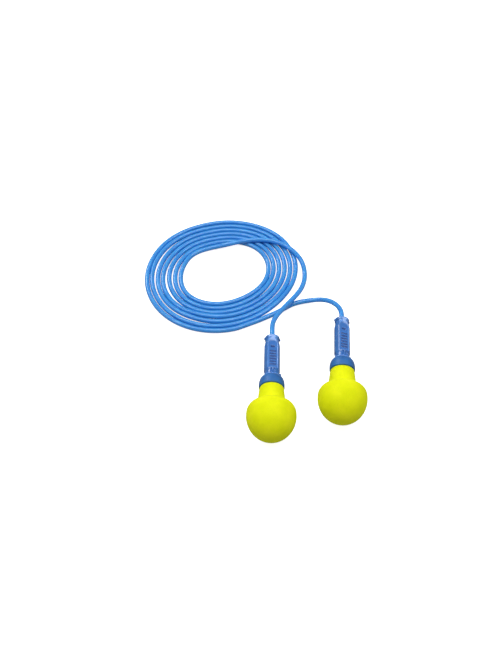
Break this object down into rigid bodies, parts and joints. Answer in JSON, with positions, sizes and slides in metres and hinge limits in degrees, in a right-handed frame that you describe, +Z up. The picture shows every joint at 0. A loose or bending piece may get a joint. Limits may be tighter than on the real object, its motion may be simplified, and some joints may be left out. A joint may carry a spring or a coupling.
{
  "type": "corded foam ear plugs",
  "caption": "Corded push-in ear plugs: soft foam bulbs on barbed posts with finger grips, joined by a vinyl cord wound in a loose flat coil.",
  "frame": {"origin": "on the surface the plugs lie on, at the middle of the box round the two plugs, the cord left out", "axes": "+Y from the foam bulbs towards the cord, +Z up, +X from the left plug to the right plug"},
  "size_m": [0.0665, 0.0925, 0.0139],
  "materials": {
    "foam": "matt, finely porous moulded polyurethane foam",
    "core": "satin moulded plastic",
    "grip": "satin moulded soft plastic",
    "cord": "glossy extruded soft vinyl"
  },
  "bodies": {
    "cord": {"cord_coil": "cord", "cord_left_lead": "cord", "cord_right_lead": "cord"},
    "left_plug": {"left_foam_tip": "foam", "left_core": "core", "left_grip": "grip"},
    "right_plug": {"right_foam_tip": "foam", "right_core": "core", "right_grip": "grip"}
  },
  "joints": [
    {"name": "left_plug_swing", "type": "hinge", "parent": "cord", "child": "left_plug", "pos_m": [-0.00925, 0.01333, 0.00695], "axis": [0, 0, 1], "range_deg": [-20, 6]},
    {"name": "right_plug_swing", "type": "hinge", "parent": "cord", "child": "right_plug", "pos_m": [0.01139, 0.01902, 0.00835], "axis": [0, 0, 1], "range_deg": [-6, 20]}
  ]
}
